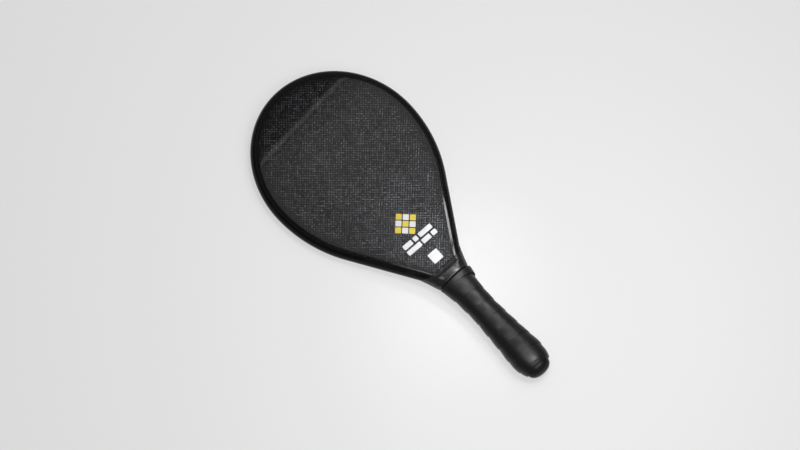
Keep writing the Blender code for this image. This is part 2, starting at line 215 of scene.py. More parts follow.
def place(
    mesh: bpy.types.Mesh,
    material: bpy.types.Material,
    replaces: Sequence[str] = (),
) -> bpy.types.Object:
    """Puts a mesh in the scene as a piece of the paddle, under the mesh's own name.

    Args:
        mesh: the piece's mesh.
        material: its only material.
        replaces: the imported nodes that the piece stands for.

    Returns:
        The piece, riding on the paddle's body.
    """
    mesh.materials.clear()
    mesh.materials.append(material)
    piece = bpy.data.objects.new(mesh.name, mesh)
    bpy.context.scene.collection.objects.link(piece)
    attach(piece, BODY)
    if replaces:
        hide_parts(*replaces)
    log.info("%s: %d faces, in %s", piece.name, len(mesh.polygons), material.name)
    return piece


class Graph:
    """The node tree of one material, with short calls for the nodes that the finishes share."""

    def __init__(self, name: str, roughness: float, specular: float = 0.5) -> None:
        """Starts a material.

        Args:
            name: the material's name.
            roughness: the shader's roughness, a constant unless it is fed later.
            specular: the shader's specular level, a constant.
        """
        self.material = bpy.data.materials.new(name)
        self.material.use_nodes = True
        self.tree = self.material.node_tree
        self.shader = self.tree.nodes["Principled BSDF"]
        self.set("Roughness", roughness)
        self.set("Specular IOR Level", specular)

    def add(self, kind: str, inputs: dict[str | int, Source], output: str | int = 0,
            **settings: str) -> Socket:
        """Adds a node.

        Args:
            kind: its type, without the words that all shader nodes start with.
            inputs: what feeds its inputs, by name or by number.
            output: which of its outputs is wanted.
            settings: its properties, set before the inputs are fed.

        Returns:
            That output.
        """
        node = self.tree.nodes.new("ShaderNode" + kind)
        for label, setting in settings.items():
            setattr(node, label, setting)
        for label, source in inputs.items():
            self.feed(node.inputs[label], source)
        return node.outputs[output]

    def feed(self, socket: Socket, source: Source) -> None:
        """Links a source to a socket, or sets the socket to a constant.

        Args:
            socket: the input.
            source: an output of another node, or the constant.
        """
        if isinstance(source, Socket):
            self.tree.links.new(source, socket)
        else:
            socket.default_value = source

    def set(self, label: str, source: Source) -> None:
        """Feeds one of the shader's inputs."""
        self.feed(self.shader.inputs[label], source)

    def math(self, operation: str, *sources: Socket | float) -> Socket:
        """The result of a math operation."""
        return self.add("Math", dict(enumerate(sources)), operation=operation)

    def plus(self, first: Socket | float, second: Socket | float) -> Socket:
        """The sum of two numbers."""
        return self.math("ADD", first, second)

    def times(self, first: Socket | float, second: Socket | float) -> Socket:
        """The product of two numbers."""
        return self.math("MULTIPLY", first, second)

    def over(self, first: Socket | float, second: Socket | float) -> Socket:
        """The first number divided by the second."""
        return self.math("DIVIDE", first, second)

    def power(self, base: Socket | float, exponent: float) -> Socket:
        """A number raised to a power."""
        return self.math("POWER", base, exponent)

    def position(self, turn: float = 0.0, scale: float = 1.0) -> Socket:
        """The point on the piece in its own coordinates, turned about Z and scaled."""
        at = self.add("TexCoord", {}, "Object")
        return self.add("Mapping", {"Vector": at, "Rotation": (0, 0, turn), "Scale": (scale,) * 3}, "Vector")

    def split(self, vector: Socket) -> tuple[Socket, Socket, Socket]:
        """The three parts of a vector."""
        return tuple(self.add("SeparateXYZ", {0: vector}).node.outputs)

    def join(self, x: Socket | float, y: Socket | float, z: Socket | float) -> Socket:
        """A vector of three parts."""
        return self.add("CombineXYZ", {0: x, 1: y, 2: z})

    def blend(self, share: Socket, first: Socket, second: Socket) -> Socket:
        """A number between two, by share."""
        return self.math("MULTIPLY_ADD", share, self.math("SUBTRACT", second, first), first)

    def attribute(self, label: str) -> Socket:
        """A number stored at the piece's points."""
        return self.add("Attribute", {}, "Fac", attribute_name=label)

    def noise(self, size: float, detail: float = 2.0, vector: Socket | None = None) -> Socket:
        """Smooth noise from 0 to 1 whose lumps are about this many metres across."""
        inputs = {"Scale": 1.0 / size, "Detail": detail, "Vector": vector or self.position()}
        return self.add("TexNoise", inputs, "Fac")

    def cells(self, size: float, feature: str = "F1") -> Socket:
        """Distance to the nearest of scattered points that lie about this many metres apart."""
        inputs = {"Scale": 1.0 / size, "Vector": self.position()}
        return self.add("TexVoronoi", inputs, "Distance", feature=feature)

    def fade(self, source: Socket, start: float, end: float, low: float = 0.0, high: float = 1.0) -> Socket:
        """Carries a number from start..end to low..high, smoothly and no further."""
        inputs = dict(enumerate((source, start, end, low, high)))
        return self.add("MapRange", inputs, interpolation_type="SMOOTHSTEP")

    def mix(self, share: Socket | float, first: Socket | Colour, second: Socket | Colour) -> Socket:
        """A colour between two, by share. The node's colours are its inputs 6 and 7 and its output 2."""
        colours = [(*colour, 1.0) if isinstance(colour, tuple) else colour for colour in (first, second)]
        return self.add("Mix", {0: share, 6: colours[0], 7: colours[1]}, 2, data_type="RGBA")

    def bump(self, height: Socket, depth: float, strength: float = 1.0,
             under: Socket | None = None) -> Socket:
        """A normal that follows a height of 0 to 1, this many metres deep, over another normal."""
        inputs = {"Strength": strength, "Distance": depth, "Height": height}
        return self.add("Bump", inputs if under is None else {**inputs, "Normal": under}, "Normal")


@dataclass(frozen=True)
class WovenCarbon:
    """Plain-woven carbon cloth under clear resin, with painted glints on its threads and painted shade
    towards the edge of the face.

    Each pair of the painted glints is a run of cells along a thread and how much its own glint counts.
    """

    name: str = "carbon_weave"
    thread: float = 2.8 * MM
    turn: float = math.radians(42.5)
    waver: float = 0.7
    gap: Colour = (0.004, 0.004, 0.0043)
    # Thread colour where the painted glints are at full strength.
    fibre_glint: Colour = (0.111, 0.111, 0.119)
    favour: tuple[float, float] = (0.42, 0.98)
    both_sets: float = 1.4
    cloud_tones: tuple[float, float] = (0.78, 1.08)
    # Painted shade towards the edge of the face: where it fades in along past_flat, and its darkest tone.
    edge_shade_span: tuple[float, float] = (-13 * MM, 3 * MM)
    edge_shade_tone: float = 0.12
    painted_glints: tuple[tuple[float, float], ...] = ((3.0, 0.75), (1.0, 0.95))
    least_painted_glint: float = 0.04
    relief: float = 0.12 * MM
    resin_relief: float = 0.02 * MM

    def build(self) -> bpy.types.Material:
        """Warp and weft, each with painted glints of its own in the base colour.

        Where the product of the two sines across a cell is positive the warp lies on top, elsewhere
        the weft. In slow patches the warp or the weft takes the brighter painted glints, and soft clouds
        lighten and darken both. Towards the edge of the face painted shade darkens the colour.

        Returns:
            The material.
        """
        g = Graph(self.name, roughness=0.3, specular=0.1)
        across, along, _ = g.split(g.position(turn=self.turn, scale=1.0 / self.thread))
        across = g.math("MULTIPLY_ADD", g.noise(26 * MM, 1.0), self.waver, across)
        along = g.math("MULTIPLY_ADD", g.noise(33 * MM, 1.0), self.waver, along)
        wave_across = g.math("SINE", g.times(across, math.pi))
        wave_along = g.math("SINE", g.times(along, math.pi))
        warp_on_top = g.fade(g.times(wave_across, wave_along), -0.15, 0.15)
        weft_on_top = g.math("SUBTRACT", 1.0, warp_on_top)
        rise_across, rise_along = g.math("ABSOLUTE", wave_across), g.math("ABSOLUTE", wave_along)
        # Painted highlights and glints on the threads, standing in for light caught by the fibres.
        warp = self.painted_thread_glints(g, across, along, rise_across, rise_along, warp_on_top, 0.0)
        weft = self.painted_thread_glints(g, along, across, rise_along, rise_across, weft_on_top, 7.0)
        # Painted reflection: in slow patches one set of threads has the brighter glints.
        favoured = g.fade(g.noise(15 * MM), 0.38, 0.62, *self.favour)
        light = g.plus(g.times(warp, favoured), g.times(weft, g.math("SUBTRACT", self.both_sets, favoured)))
        # Painted shade: the cloth's colour darkens towards the edge of the face.
        painted_edge_shade = g.fade(g.attribute("past_flat"), *self.edge_shade_span, 1.0, self.edge_shade_tone)
        cloud = g.fade(g.noise(34 * MM, 3.0), 0.35, 0.65, *self.cloud_tones)
        light = g.times(g.times(light, cloud), painted_edge_shade)
        # The base colour is the dark cloth lifted by the painted glints.
        g.set("Base Color", g.mix(light, self.gap, self.fibre_glint))
        weft_height = self.crown(g, rise_along, rise_across)
        warp_height = self.crown(g, rise_across, rise_along)
        g.set("Normal", g.bump(g.blend(warp_on_top, weft_height, warp_height), self.relief, 0.6))
        g.set("Metallic", 0.8)
        g.set("Coat Weight", 0.8)
        g.set("Coat Roughness", 0.045)
        g.set("Coat Normal", g.bump(g.noise(11 * MM), self.resin_relief, 0.5))
        return g.material

    @staticmethod
    def crown(g: Graph, across: Socket, along: Socket) -> Socket:
        """Height of a float: round across its thread and nearly flat along it."""
        return g.times(g.power(across, 0.8), g.power(along, 0.35))

    def painted_thread_glints(self, g: Graph, across: Socket, along: Socket, rise_across: Socket,
                     rise_along: Socket, on_top: Socket, seed: float) -> Socket:
        """Painted glints of one set of threads, for the base colour.

        A painted highlight runs along the middle of each thread, brightest where it lies on top. Each
        cell and each run of cells along it gets a painted glint of its own strength.

        Args:
            g: the material's graph.
            across: distance across the threads, in threads.
            along: distance along them.
            rise_across: the sine across the thread.
            rise_along: the sine along it.
            on_top: 1 where this set lies on top.
            seed: a number that makes the two sets differ.

        Returns:
            The painted glint brightness, 0 between the threads.
        """
        thread = g.math("FLOOR", across)
        glint = self.least_painted_glint
        for length, share in self.painted_glints:
            run = g.math("FLOOR", g.math("MULTIPLY_ADD", thread, 0.37, g.over(along, length)))
            cell = g.join(thread, run, seed + length)
            own = g.add("TexWhiteNoise", {"Vector": cell}, "Value", noise_dimensions="3D")
            glint = g.math("MULTIPLY_ADD", g.power(own, 2.2), share, glint)
        painted_float_highlight = g.math("MULTIPLY_ADD", g.times(on_top, g.power(rise_along, 0.6)), 0.75, 0.25)
        return g.times(g.times(g.power(rise_across, 5.0), painted_float_highlight), glint)


@dataclass(frozen=True)
class GlossBlack:
    """Black lacquer or rubber with a smooth coat, fine dust in it and faint rubbed places."""

    name: str
    colour: Colour = (0.006, 0.006, 0.0065)
    rubbed: Colour = (0.016, 0.016, 0.017)
    dust: Colour = (0.09, 0.09, 0.09)
    dust_spacing: float = 3.5 * MM
    dust_share: float = 0.25
    roughness: float = 0.2
    specular: float = 0.25
    grain: float = 0.5 * MM
    grain_depth: float = 0.01 * MM

    def build(self) -> bpy.types.Material:
        """Large soft clouds lighten the colour where hands rub, and small grain breaks the shine.

        Returns:
            The material.
        """
        g = Graph(self.name, self.roughness, self.specular)
        worn = g.fade(g.noise(22 * MM, 3.0), 0.45, 0.75)
        specks = g.fade(g.cells(self.dust_spacing), 0.0, 0.09, 1.0, 0.0)
        colour = g.mix(worn, self.colour, self.rubbed)
        g.set("Base Color", g.mix(g.times(specks, self.dust_share), colour, self.dust))
        low, high = self.roughness * 0.85, self.roughness * 1.25
        g.set("Roughness", g.fade(g.noise(12 * MM, 3.0), 0.3, 0.7, low, high))
        orange_peel = g.bump(g.noise(4 * MM, 1.0), self.grain_depth)
        g.set("Normal", g.bump(g.noise(self.grain), self.grain_depth * 0.4, under=orange_peel))
        return g.material


@dataclass(frozen=True)
class GripTape:
    """Thin black tacky tape: fine skin grain, faint lines along the tape, and shine where it is held."""

    name: str = "grip_tape"
    colour: Colour = (0.0045, 0.0045, 0.005)
    shiny: Colour = (0.0075, 0.0075, 0.0085)
    dull_roughness: float = 0.34
    held_roughness: float = 0.27
    line_length: float = 9 * MM
    line_width: float = 0.9 * MM
    line_relief: float = 0.05 * MM
    skin_cell: float = 0.45 * MM
    skin_relief: float = 0.02 * MM

    def build(self) -> bpy.types.Material:
        """The tape carries its own along and across distances, so the grain runs with its turns.

        Returns:
            The material.
        """
        g = Graph(self.name, roughness=0.3, specular=0.25)
        along, across = g.attribute("along"), g.attribute("across")
        lines = g.join(g.over(along, self.line_length), g.over(across, self.line_width), 0.0)
        drawn = g.noise(1.0, 3.0, lines)
        held = g.fade(g.noise(16 * MM, 3.0), 0.35, 0.7)
        g.set("Base Color", g.mix(held, self.colour, self.shiny))
        roughness = g.fade(held, 0.0, 1.0, self.dull_roughness, self.held_roughness)
        g.set("Roughness", g.plus(roughness, g.times(drawn, 0.06)))
        skin = g.bump(g.cells(self.skin_cell, feature="SMOOTH_F1"), self.skin_relief, 0.6)
        g.set("Normal", g.bump(drawn, self.line_relief, 0.5, under=skin))
        return g.material


@dataclass(frozen=True)
class Foam:
    """Foam or moulded plastic with cells of one size, lighter walls and hollows darkened with painted shade.
    """

    name: str
    wall: Colour
    shaded_hollow: Colour
    cell: float

    def build(self) -> bpy.types.Material:
        """Scattered cells set both the colour and the relief; their hollows get painted shade, and soft
        clouds darken the colour in places.

        Returns:
            The material.
        """
        g = Graph(self.name, roughness=0.85, specular=0.25)
        cells = g.cells(self.cell)
        clouds = g.fade(g.noise(30 * MM, 3.0), 0.3, 0.7, 0.75, 1.0)
        # Painted shade: the cells' hollows are darker than their walls.
        shade = g.times(g.fade(cells, 0.1, 0.6), clouds)
        g.set("Base Color", g.mix(shade, self.shaded_hollow, self.wall))
        g.set("Normal", g.bump(cells, self.cell * 0.3, 0.8))
        return g.material


@dataclass(frozen=True)
class SpineTimber:
    """Light timber whose grain runs along the paddle."""

    name: str = "spine_wood"
    pale: Colour = (0.50, 0.33, 0.18)
    dark: Colour = (0.30, 0.17, 0.08)
    ring: float = 1.6 * MM
    heart_depth: float = 30 * MM
    bend: float = 6 * MM
    pore_width: float = 0.35 * MM
    pore_length: float = 9 * MM

    def build(self) -> bpy.types.Material:
        """Growth rings are bands of the distance from a line under the bar, drawn out along Y.

        Returns:
            The material.
        """
        g = Graph(self.name, roughness=0.55, specular=0.3)
        x, y, z = g.split(g.position())
        bend = g.times(g.noise(60 * MM), self.bend)
        sideways, down = g.power(g.plus(x, bend), 2.0), g.power(g.plus(z, self.heart_depth), 2.0)
        ring = g.math("FRACT", g.over(g.math("SQRT", g.plus(sideways, down)), self.ring))
        sizes = (self.pore_width, self.pore_length, self.pore_width)
        pores = g.noise(1.0, 3.0, g.join(*(g.over(part, size) for part, size in zip((x, y, z), sizes))))
        grain = g.times(g.fade(ring, 0.2, 1.0), g.fade(pores, 0.3, 0.7, 0.6, 1.0))
        g.set("Base Color", g.mix(grain, self.pale, self.dark))
        g.set("Normal", g.bump(pores, 0.08 * MM, 0.5))
        return g.material


@dataclass(frozen=True)
class PrintInk:
    """Ink printed on the face, a little worn, under the same gloss as the weave."""

    name: str
    colour: Colour
    thin_share: float = 0.72

    def build(self) -> bpy.types.Material:
        """Fine noise thins the ink in places.

        Returns:
            The material.
        """
        g = Graph(self.name, roughness=0.35, specular=0.4)
        thin = tuple(self.thin_share * part for part in self.colour)
        g.set("Base Color", g.mix(g.fade(g.noise(1.3 * MM, 3.0), 0.55, 0.8), self.colour, thin))
        g.set("Roughness", g.fade(g.noise(5 * MM), 0.3, 0.7, 0.3, 0.42))
        g.set("Normal", g.bump(g.noise(0.8 * MM), 0.01 * MM, 0.4))
        g.set("Coat Weight", 0.6)
        g.set("Coat Roughness", 0.1)
        return g.material


@dataclass(frozen=True)
class Track:
    """Stations along the frame's outline on the +X side, from the tip to where it stops."""

    u: Array
    point: Array
    normal: Array

    def mirrored(self) -> "Track":
        """The same stations on the -X side."""
        flip = np.array([-1.0, 1.0])
        return Track(self.u, self.point * flip, self.normal * flip)

    def all_round(self) -> "Track":
        """From the end of the -X side, round the tip, to the end of the +X side.

        Returns:
            The stations of both sides, with the tip's once.
        """
        left = self.mirrored()
        return Track(
            np.concatenate([left.u[:0:-1], self.u]),
            np.concatenate([left.point[:0:-1], self.point]),
            np.concatenate([left.normal[:0:-1], self.normal]),
        )


@dataclass(frozen=True)
class Outline:
    """Plan outline of the frame: quarter ellipse, arc, straight throat, arc and straight legs."""

    length: float
    half_width: float
    tip_length: float = 115.0 * MM
    shoulder_radius: float = 170.0 * MM
    throat_angle: float = math.radians(31.8)
    throat_end: float = 281.0 * MM
    neck_end: float = 350.0 * MM
    leg_end: float = 435.0 * MM
    spacing: float = 2.5 * MM

    @property
    def neck_radius(self) -> float:
        """Radius of the arc that turns the throat into the legs."""
        return (self.neck_end - self.throat_end) / math.sin(self.throat_angle)

    def y_of(self, u: Array) -> Array:
        """The y coordinate of a distance from the tip."""
        return self.length / 2 - u

    def track(self, last_u: float) -> Track:
        """Stations along the +X side.

        Each stretch has its own formula. On the ellipse the point is (W sin t, T - T cos t) and the
        normal (T sin t, W cos t). On an arc of radius R the half width changes by R - R cos a over
        a length of R sin a, and the normal leans by a.

        Args:
            last_u: where the stations stop.

        Returns:
            The stations' distances, points and outward normals.
        """
        lean, radius, spacing = self.throat_angle, self.neck_radius, self.spacing
        t = np.linspace(0, math.pi / 2, round(self.tip_length * 1.5 / spacing), endpoint=False)
        tip = (self.tip_length * (1 - np.cos(t)), self.half_width * np.sin(t))
        tip_normal = np.arctan2(-self.tip_length * np.sin(t), self.half_width * np.cos(t)) + math.pi / 2
        a = np.linspace(0, lean, round(self.shoulder_radius * lean / spacing), endpoint=False)
        shoulder = (self.tip_length + self.shoulder_radius * np.sin(a),
                    self.half_width - self.shoulder_radius * (1 - np.cos(a)))
        start_u = self.tip_length + self.shoulder_radius * math.sin(lean)
        start_w = self.half_width - self.shoulder_radius * (1 - math.cos(lean))
        fall = self.throat_end - start_u
        straight = np.linspace(start_u, self.throat_end, round(fall / spacing), endpoint=False)
        end_w = start_w - fall * math.tan(lean)
        b = np.linspace(lean, 0, round(radius * lean / spacing), endpoint=False)
        neck = (self.throat_end + radius * (math.sin(lean) - np.sin(b)),
                end_w - radius * (np.cos(b) - math.cos(lean)))
        legs = np.linspace(self.neck_end, self.leg_end, round((self.leg_end - self.neck_end) / spacing))
        leg_w = end_w - radius * (1 - math.cos(lean))
        u = np.concatenate([tip[0], shoulder[0], straight, neck[0], legs])
        w = np.concatenate([tip[1], shoulder[1], start_w - (straight - start_u) * math.tan(lean), neck[1],
                            np.full(len(legs), leg_w)])
        leaning = np.concatenate([tip_normal, -a, np.full(len(straight), -lean), -b, np.zeros(len(legs))])
        normal = np.stack([np.cos(leaning), np.sin(leaning)], axis=1)
        kept = u <= last_u
        return Track(u[kept], np.stack([w, self.y_of(u)], axis=1)[kept], normal[kept])

    def width_at(self, u: Array) -> Array:
        """Half width at distances from the tip, read along the stations."""
        track = self.track(self.leg_end)
        return np.interp(u, track.u, track.point[:, 0])


@dataclass(frozen=True)
class Tube:
    """Section of the frame tube: a half-round outer edge between two lips, over which the faces lie.

    A fine ridge runs round the middle of the edge. The ridge's angles are in degrees.
    """

    half_thickness: Profile = Profile(((0, 10.0), (304, 10.0), (338, 6.0), (435, 6.0)))
    width: Profile = Profile(((0, 17.0), (235, 17.0), (305, 11.6), (338, 7.6), (435, 7.6)))
    lip_angle: float = math.radians(60)
    laminate: float = 1.0 * MM
    glue: float = 0.05 * MM
    joint: float = 0.12 * MM
    corner: float = 1.2 * MM
    wall: float = 1.4 * MM
    edge_wall: float = 2.8 * MM
    ridge: float = 0.06 * MM
    ridge_angle: float = 0.7
    ridge_stops: tuple[float, float] = (0.6, 1.2)


@dataclass
class Head:
    """The frame tube and the two face laminates."""

    outline: Outline
    middle: float
    tube: Tube = field(default_factory=Tube)
    cut: float = 303.0 * MM
    edge_steps: int = 28
    roll_steps: int = 14
    flat_columns: int = 33
    flat_margin: float = 2.0 * MM

    def tube_rings(self, section: Array, track: Track) -> Array:
        """Places a section at each station, square to the outline.

        Args:
            section: (stations, points, 2) with the distance out from the round edge's centre and up.
            track: the stations.

        Returns:
            (stations, points, 3).
        """
        half = self.tube.half_thickness.at(track.u)[:, None, None]
        plan = track.point[:, None, :] + track.normal[:, None, :] * (section[..., :1] - half)
        return np.concatenate([plan, section[..., 1:] + self.middle], axis=-1)

    def outer_section(self, u: Array) -> Array:
        """The tube's outside: (R cos a, R sin a) between the lips, then the rebates and inner wall.

        The ridge adds height e ^ -(a / ridge_angle) squared to R.

        Args:
            u: the stations' distances from the tip.

        Returns:
            (stations, points, 2).
        """
        tube = self.tube
        half, width = tube.half_thickness.at(u)[:, None], tube.width.at(u)[:, None]
        seat = half - tube.laminate - tube.glue
        a = np.linspace(0, tube.lip_angle, self.edge_steps)
        a = np.unique(np.concatenate([a, np.radians(tube.ridge_stops)]))
        ridge = tube.ridge * np.exp(-((np.degrees(a) / tube.ridge_angle) ** 2))
        edge = np.stack([(half + ridge) * np.cos(a), (half + ridge) * np.sin(a)], axis=-1)
        out, up = math.cos(tube.lip_angle), math.sin(tube.lip_angle)
        lip = np.concatenate([seat * out, seat * up], axis=1)[:, None]
        rest = np.stack([
            np.concatenate([0 * half, half - width + tube.corner, half - width], axis=1),
            np.concatenate([seat, seat, seat - tube.corner], axis=1),
        ], axis=-1)
        return both_halves(np.concatenate([edge, lip, rest], axis=1))

    def bore_section(self, u: Array, points: int) -> Array:
        """The tube's bore, with as many points as its outside: a quarter round, then flat.

        Args:
            u: the stations' distances from the tip.
            points: how many points the section has.

        Returns:
            (stations, points, 2).
        """
        half, width = self.tube.half_thickness.at(u)[:, None], self.tube.width.at(u)[:, None]
        radius = half - self.tube.edge_wall
        inner = half - width + self.tube.wall
        quarter = (points + 1) // 2 - 1
        a = np.linspace(0, math.pi / 2, quarter)
        curve = np.stack([radius * np.cos(a), radius * np.sin(a)], axis=-1)
        corner = np.stack([inner, radius], axis=-1)
        return both_halves(np.concatenate([curve, corner], axis=1))

    def tube_mesh(self) -> bpy.types.Mesh:
        """The whole tube, from one leg's end round the head to the other's, open at both ends.

        Returns:
            The mesh.
        """
        track = self.outline.track(self.outline.leg_end).all_round()
        outside = self.outer_section(track.u)
        inside = self.bore_section(track.u, outside.shape[1])
        rings = np.concatenate([self.tube_rings(outside, track), self.tube_rings(inside, track)[::-1]])
        return body_mesh("frame", rings, loop=True)

    def laminate_mesh(self, name: str, side: float) -> bpy.types.Mesh:
        """One face: at each station a thin loop from lip to lip, over the face and back under it.

        Past the flat, the surface follows (R cos a, R sin a) down to the lip. The number past_flat is
        the distance beyond the flat's edge, and on the flat it is less than zero by the distance to
        the nearest station of that edge.

        Args:
            name: the mesh's name.
            side: 1 for the front, -1 for the rear.

        Returns:
            The mesh.
        """
        tube = self.tube
        right = self.outline.track(self.cut)
        cut_u = np.array([self.cut])
        cut_w = self.outline.width_at(cut_u)
        end = Track(cut_u, np.stack([cut_w, self.outline.y_of(cut_u)], axis=1), right.normal[-1:])
        right = Track(*(np.concatenate([one, two]) for one, two in (
            (right.u, end.u), (right.point, end.point), (right.normal, end.normal))))
        half = tube.half_thickness.at(np.zeros(1))[0]
        first = tube.lip_angle + tube.joint / half
        roll = np.linspace(first, math.pi / 2, self.roll_steps)

        def over(radius: float) -> tuple[Array, Array]:
            """One side of the laminate.

            Args:
                radius: the round edge's radius on that side.

            Returns:
                Points (stations, columns, 3) from the +X lip to the -X lip, and past_flat there.
            """
            rows = []
            for track in (right, right.mirrored()):
                out = half - radius * np.cos(roll)
                plan = track.point[:, None, :] - track.normal[:, None, :] * out[None, :, None]
                height = np.broadcast_to(radius * np.sin(roll), plan.shape[:2])[..., None]
                rows.append(np.concatenate([plan, height], axis=-1))
            near_right, near_left = rows[0], rows[1][:, ::-1]
            inset = right.point - right.normal * (half + self.flat_margin)
            inset[:, 0] = np.maximum(inset[:, 0], 0.0)
            s = np.linspace(1, -1, self.flat_columns)[None, :]
            flat = np.stack([
                inset[:, :1] * s,
                np.broadcast_to(inset[:, 1:], (len(inset), self.flat_columns)),
                np.full((len(inset), self.flat_columns), radius),
            ], axis=-1)
            edge = np.concatenate([inset, inset * np.array([-1.0, 1.0])])
            inside = np.linalg.norm(flat[:, :, None, :2] - edge, axis=-1).min(axis=2)
            down = np.broadcast_to(half * (math.pi / 2 - roll), (len(inset), len(roll)))
            past = np.concatenate([down, -self.flat_margin - inside, down[:, ::-1]], axis=1)
            return np.concatenate([near_right, flat, near_left], axis=1), past

        top, past = over(half)
        under, _ = over(half - tube.laminate)
        points = np.concatenate([top, under[:, ::-1]], axis=1)
        points[..., 2] = side * points[..., 2] + self.middle
        values = {"past_flat": np.concatenate([past, past[:, ::-1]], axis=1)}
        return body_mesh(name, points, values=values)

    def build(self) -> None:
        """Makes the frame and both faces and dresses them."""
        lacquer = GlossBlack("edge_lacquer", colour=(0.003, 0.003, 0.0033), rubbed=(0.007, 0.007, 0.0075),
                             roughness=0.2, specular=0.1).build()
        place(self.tube_mesh(), lacquer, ["frame_tube"])
        weave = WovenCarbon().build()
        place(self.laminate_mesh("face_front", 1.0), weave, ["front_skin"])
        place(self.laminate_mesh("face_rear", -1.0), weave, ["rear_skin"])


@dataclass
class Collar:
    """Moulded collar on the throat: it climbs in three fine steps, then lies as a round-edged band.

    Its walls over the faces and round the edges have profiles of their own. Round the edges it
    reaches further towards the head.
    """

    outline: Outline
    middle: float
    tube: Tube = field(default_factory=Tube)
    lip: float = 287.6 * MM
    wing: float = 6.5 * MM
    end: float = 306.6 * MM
    seat: float = 0.1 * MM
    crown_start: float = 294.0 * MM
    crown_length: float = 9.0 * MM
    crown_power: float = 2.4
    arc_steps: int = 40
    flat_steps: int = 17
    outer_rings: int = 150
    inner_rings: int = 24
    face_wall: Profile = Profile((
        (287.6, 0.25), (288.6, 0.6), (289.9, 1.05), (290.2, 0.6), (291.0, 0.9), (291.9, 1.2),
        (292.2, 0.75), (293.0, 1.05), (293.8, 1.4), (294.6, 1.8), (295.3, 2.1), (296.0, 2.22),
        (298.0, 2.46), (300.0, 2.7), (302.0, 2.92), (303.7, 3.08), (304.0, 3.1), (304.4, 2.98),
        (305.1, 2.55), (305.9, 1.95), (306.6, 1.2),
    ))
    edge_wall: Profile = Profile((
        (287.6, 0.15), (289.5, 0.7), (292.0, 1.2), (295.0, 1.8), (299.0, 2.4), (303.0, 2.7),
        (304.6, 2.7), (305.6, 2.4), (306.3, 1.8), (306.6, 1.3),
    ))

    def band(self, share: Array, raised: bool) -> Array:
        """Rings round the frame, whose section there is two half circles joined by flat sides.

        A point of the outer side stands off by a blend of the two walls, by the square of the
        cosine of its angle up the edge. Towards the handle the outer side turns from that
        flat-sided section into an oval of the same width and thickness.

        Args:
            share: how far along the collar each ring lies, from its lip (0) to its end (1).
            raised: True for the outer side, False for the seat on the frame.

        Returns:
            (rings, points, 3).
        """
        a = np.linspace(-math.pi / 2, math.pi / 2, self.arc_steps)
        s = np.linspace(1, -1, self.flat_steps + 2)[1:-1]
        cosine = np.concatenate([np.cos(a), 0 * s, -np.cos(a), 0 * s])[None, :]
        sine = np.concatenate([np.sin(a), 1 + 0 * s, -np.sin(a), -1 + 0 * s])[None, :]
        centre_share = np.concatenate([1 + 0 * a, s, -1 + 0 * a, -s])[None, :]
        on_edge = cosine**2
        lip = self.lip - self.wing * on_edge**2
        u = lip + share[:, None] * (self.end - lip)
        radius = self.tube.half_thickness.at(u) + self.seat
        width = self.outline.width_at(u) + self.seat
        along = self.lip + share[:, None] * (self.end - self.lip)
        over_face = self.face_wall.at(along) if raised else 0.0
        on_side = self.edge_wall.at(along) if raised else 0.0
        lift = over_face * (1 - on_edge) + on_side * on_edge
        x = (width - radius) * centre_share + (radius + lift) * cosine
        z = (radius + lift) * sine
        if raised:
            around, p = np.arctan2(z, x), self.crown_power
            reach = (np.abs(np.cos(around) / (width + on_side)) ** p
                     + np.abs(np.sin(around) / (radius + over_face)) ** p) ** (-1 / p)
            ovalness = ease((along - self.crown_start) / self.crown_length)
            x += ovalness * (reach * np.cos(around) - x)
            z += ovalness * (reach * np.sin(around) - z)
        return np.stack([x, self.outline.y_of(u), z + self.middle], axis=-1)

    def build(self) -> None:
        """Makes the collar as one band whose outer and inner side join at both lips."""
        outer = self.band(np.linspace(0, 1, self.outer_rings), raised=True)
        inner = self.band(np.linspace(1, 0, self.inner_rings), raised=False)
        mesh = body_mesh("collar", np.concatenate([outer, inner]), loop=True)
        finish = GlossBlack("collar_rubber", colour=(0.007, 0.007, 0.0075), rubbed=(0.012, 0.012, 0.013),
                            roughness=0.22, specular=0.43, grain_depth=0.004 * MM)
        place(mesh, finish.build(), ["throat_collar"])


@dataclass(frozen=True)
class HandleShape:
    """Half width and half thickness of the handle's shells along the paddle."""

    outline: Outline
    middle: float
    half_width: Profile = Profile((
        (305, 19.5), (312, 18.2), (320, 16.6), (330, 15.3), (340, 14.7), (358, 14.2), (372, 14.9),
        (390, 16.0), (408, 17.3), (420, 18.4), (429, 18.9), (437, 18.3), (444, 17.1), (450, 14.9),
    ))
    half_thickness: Profile = Profile((
        (305, 12.4), (320, 11.6), (330, 11.4), (358, 11.5), (380, 12.0), (400, 12.9), (420, 14.2),
        (429, 14.7), (437, 14.3), (444, 13.5), (450, 11.9),
    ))

    def points(self, angle: Array, u: Array, lift: Array) -> Array:
        """Points round the handle at angles, distances from the tip and lifts off the shells."""
        x, z = oval(angle, self.half_width.at(u) + lift, self.half_thickness.at(u) + lift)
        return np.stack([x, np.broadcast_to(self.outline.y_of(u), x.shape), z + self.middle], axis=-1)


